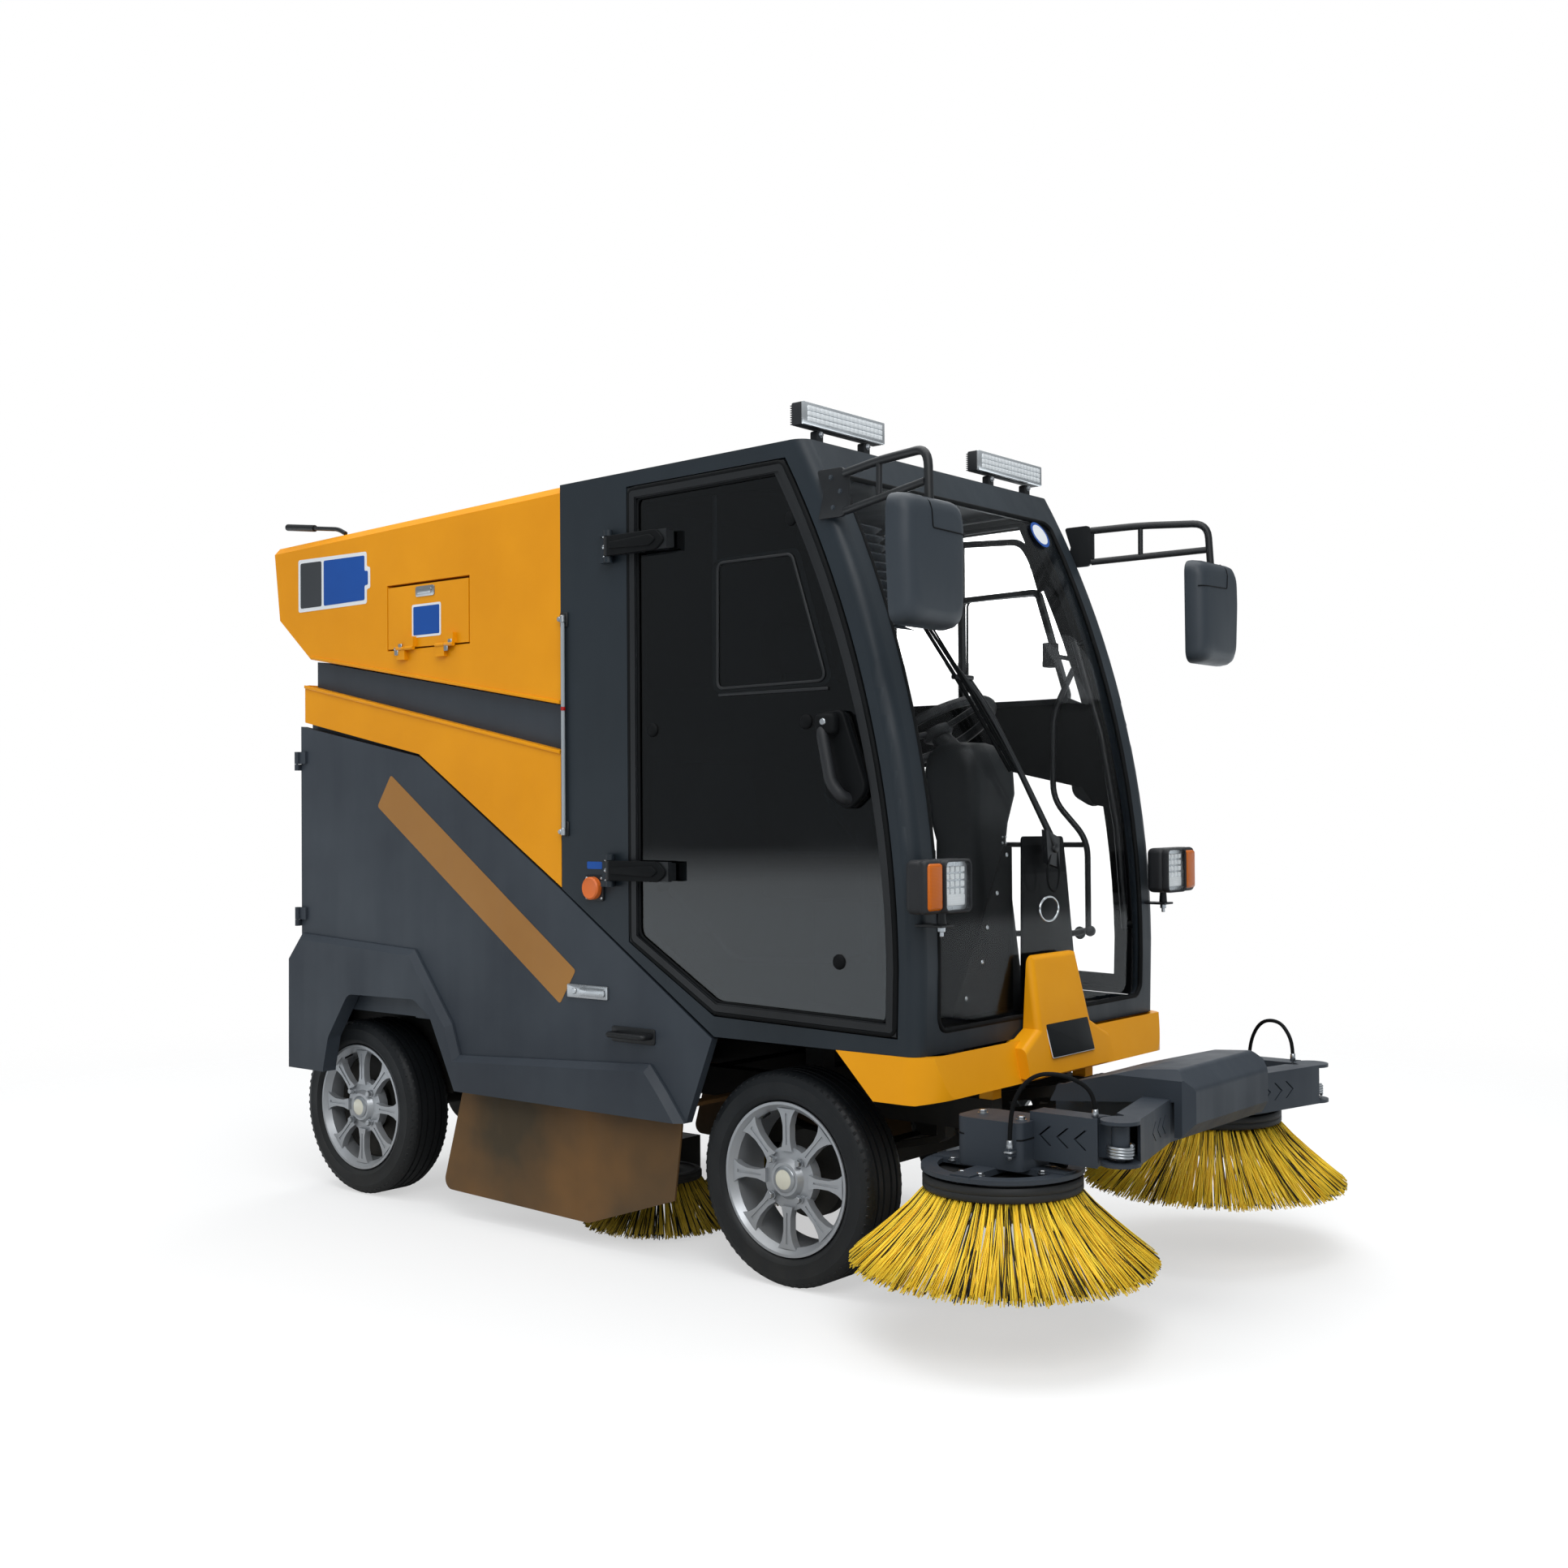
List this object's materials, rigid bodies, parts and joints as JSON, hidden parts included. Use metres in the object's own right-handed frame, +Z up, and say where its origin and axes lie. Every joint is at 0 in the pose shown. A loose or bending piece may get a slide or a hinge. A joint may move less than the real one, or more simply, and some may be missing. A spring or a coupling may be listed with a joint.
{
  "type": "street sweeper truck",
  "caption": "Compact electric street sweeper truck: glazed cab, yellow and dark body, lifting front brush pair, middle brushes, suction mouth and hinged panels.",
  "frame": {"origin": "centre of the footprint at ground level", "axes": "+X forward, +Y to the vehicle's left, +Z up"},
  "size_m": [3.114, 1.7892, 2.222],
  "materials": {
    "yellow_paint": "satin yellow-orange enamel",
    "dark_paint": "satin dark grey enamel",
    "black_steel": "semi-gloss black powder coat",
    "chassis_paint": "matt black chassis paint",
    "battery_case": "matt moulded case",
    "clear_glass": "clear laminated",
    "tinted_glass": "dark tinted toughened",
    "dark_plastic": "fine grained moulded",
    "seat_cover": "black vinyl cover",
    "flap_rubber": "brown rubber sheet",
    "lamp_case": "black lamp housing",
    "wheel_alloy": "silver lacquered alloy",
    "hose_rubber": "black hydraulic hose cover",
    "tyre_rubber": "matt road tyre",
    "brush_bristle": "yellow polypropylene bristle"
  },
  "bodies": {
    "chassis": {"chassis_frame": "chassis_paint", "battery_pack": "battery_case", "rear_axle": "chassis_paint", "front_axle": "chassis_paint", "cab_frame": "dark_paint", "cab_floor": "dark_paint", "windscreen": "clear_glass", "dash_console": "dark_plastic", "steering_wheel": "dark_plastic", "seat": "seat_cover", "grab_rails": "black_steel", "front_bumper": "yellow_paint", "body_upper": "yellow_paint", "body_stripe": "yellow_paint", "body_base": "dark_paint", "side_flaps": "flap_rubber", "suction_mouth": "chassis_paint", "lamps": "lamp_case", "mirrors": "dark_plastic", "fittings": "black_steel"},
    "steer_right": {"knuckle_right": "chassis_paint"},
    "steer_left": {"knuckle_left": "chassis_paint"},
    "wheel_front_right": {"rim_front_right": "wheel_alloy", "tyre_front_right": "tyre_rubber"},
    "wheel_front_left": {"rim_front_left": "wheel_alloy", "tyre_front_left": "tyre_rubber"},
    "wheel_rear_right": {"rim_rear_right": "wheel_alloy", "tyre_rear_right": "tyre_rubber"},
    "wheel_rear_left": {"rim_rear_left": "wheel_alloy", "tyre_rear_left": "tyre_rubber"},
    "cab_door_right": {"door_right": "black_steel", "door_glass_right": "tinted_glass"},
    "cab_door_left": {"door_left": "black_steel", "door_glass_left": "tinted_glass"},
    "hatch": {"water_hatch": "yellow_paint"},
    "tailgate": {"rear_door": "dark_paint"},
    "service_panel_right": {"side_panel_right": "dark_paint"},
    "service_panel_left": {"side_panel_left": "dark_paint"},
    "lower_link": {"lift_arm": "black_steel"},
    "upper_link": {"lift_link": "black_steel"},
    "carriage": {"brush_carriage": "dark_paint"},
    "arm_right": {"brush_arm_right": "dark_paint", "hose_right": "hose_rubber"},
    "arm_left": {"brush_arm_left": "dark_paint", "hose_left": "hose_rubber"},
    "brush_front_right": {"front_brush_right": "brush_bristle"},
    "brush_front_left": {"front_brush_left": "brush_bristle"},
    "brush_middle_right": {"middle_brush_right": "brush_bristle"},
    "brush_middle_left": {"middle_brush_left": "brush_bristle"}
  },
  "joints": [
    {"name": "steering_right", "type": "hinge", "parent": "chassis", "child": "steer_right", "pos_m": [0.551, -0.352, 0.273], "axis": [0, 0, 1], "range_deg": [-28, 28]},
    {"name": "front_wheel_right", "type": "hinge", "parent": "steer_right", "child": "wheel_front_right", "pos_m": [0.551, -0.463, 0.273], "axis": [0, 1, 0], "continuous": true},
    {"name": "rear_wheel_right", "type": "hinge", "parent": "chassis", "child": "wheel_rear_right", "pos_m": [-1.189, -0.463, 0.273], "axis": [0, 1, 0], "continuous": true},
    {"name": "cab_door_right_hinge", "type": "hinge", "parent": "chassis", "child": "cab_door_right", "pos_m": [0.011, -0.606, 1.48], "axis": [0, 0, -1], "range_deg": [0, 75]},
    {"name": "service_panel_right_hinge", "type": "hinge", "parent": "chassis", "child": "service_panel_right", "pos_m": [-1.422, -0.597, 1.1], "axis": [0, 0, -1], "range_deg": [0, 70]},
    {"name": "brush_arm_right_hinge", "type": "hinge", "parent": "carriage", "child": "arm_right", "pos_m": [1.494, -0.519, 0.476], "axis": [0, 0, 1], "range_deg": [-20, 15], "stiffness_Nm_per_rad": 150},
    {"name": "front_brush_right_spin", "type": "hinge", "parent": "arm_right", "child": "brush_front_right", "pos_m": [1.203, -0.539, 0.36], "axis": [0, 0, 1], "continuous": true},
    {"name": "middle_brush_right_spin", "type": "hinge", "parent": "chassis", "child": "brush_middle_right", "pos_m": [-0.146, -0.252, 0.15], "axis": [0, 0, 1], "continuous": true},
    {"name": "steering_left", "type": "hinge", "parent": "chassis", "child": "steer_left", "pos_m": [0.551, 0.352, 0.273], "axis": [0, 0, 1], "range_deg": [-28, 28]},
    {"name": "front_wheel_left", "type": "hinge", "parent": "steer_left", "child": "wheel_front_left", "pos_m": [0.551, 0.463, 0.273], "axis": [0, 1, 0], "continuous": true},
    {"name": "rear_wheel_left", "type": "hinge", "parent": "chassis", "child": "wheel_rear_left", "pos_m": [-1.189, 0.463, 0.273], "axis": [0, 1, 0], "continuous": true},
    {"name": "cab_door_left_hinge", "type": "hinge", "parent": "chassis", "child": "cab_door_left", "pos_m": [0.011, 0.606, 1.48], "axis": [0, 0, 1], "range_deg": [0, 75]},
    {"name": "service_panel_left_hinge", "type": "hinge", "parent": "chassis", "child": "service_panel_left", "pos_m": [-1.422, 0.597, 1.1], "axis": [0, 0, 1], "range_deg": [0, 70]},
    {"name": "brush_arm_left_hinge", "type": "hinge", "parent": "carriage", "child": "arm_left", "pos_m": [1.494, 0.519, 0.476], "axis": [0, 0, -1], "range_deg": [-20, 15], "stiffness_Nm_per_rad": 150},
    {"name": "front_brush_left_spin", "type": "hinge", "parent": "arm_left", "child": "brush_front_left", "pos_m": [1.203, 0.539, 0.36], "axis": [0, 0, 1], "continuous": true},
    {"name": "middle_brush_left_spin", "type": "hinge", "parent": "chassis", "child": "brush_middle_left", "pos_m": [-0.146, 0.252, 0.15], "axis": [0, 0, 1], "continuous": true},
    {"name": "water_hatch_hinge", "type": "hinge", "parent": "chassis", "child": "hatch", "pos_m": [-0.7735, -0.6, 1.6995], "axis": [1, 0, 0], "range_deg": [0, 110]},
    {"name": "tailgate_hinge", "type": "hinge", "parent": "chassis", "child": "tailgate", "pos_m": [-1.426, 0, 1.446], "axis": [0, 1, 0], "range_deg": [0, 85]},
    {"name": "brush_lift", "type": "hinge", "parent": "chassis", "child": "lower_link", "pos_m": [0.701, 0, 0.358], "axis": [0, 1, 0], "range_deg": [0, 23]},
    {"name": "upper_link_pivot", "type": "hinge", "parent": "chassis", "child": "upper_link", "pos_m": [0.701, 0, 0.414], "axis": [0, 1, 0], "range_deg": [0, 23]},
    {"name": "carriage_pivot", "type": "hinge", "parent": "lower_link", "child": "carriage", "pos_m": [1.111, 0, 0.44], "axis": [0, 1, 0], "range_deg": [-23, 0]}
  ],
  "couplings": [
    {"joint": "steering_left", "follows": "steering_right", "ratio": 1},
    {"joint": "upper_link_pivot", "follows": "brush_lift", "ratio": 1},
    {"joint": "carriage_pivot", "follows": "brush_lift", "ratio": -1}
  ]
}
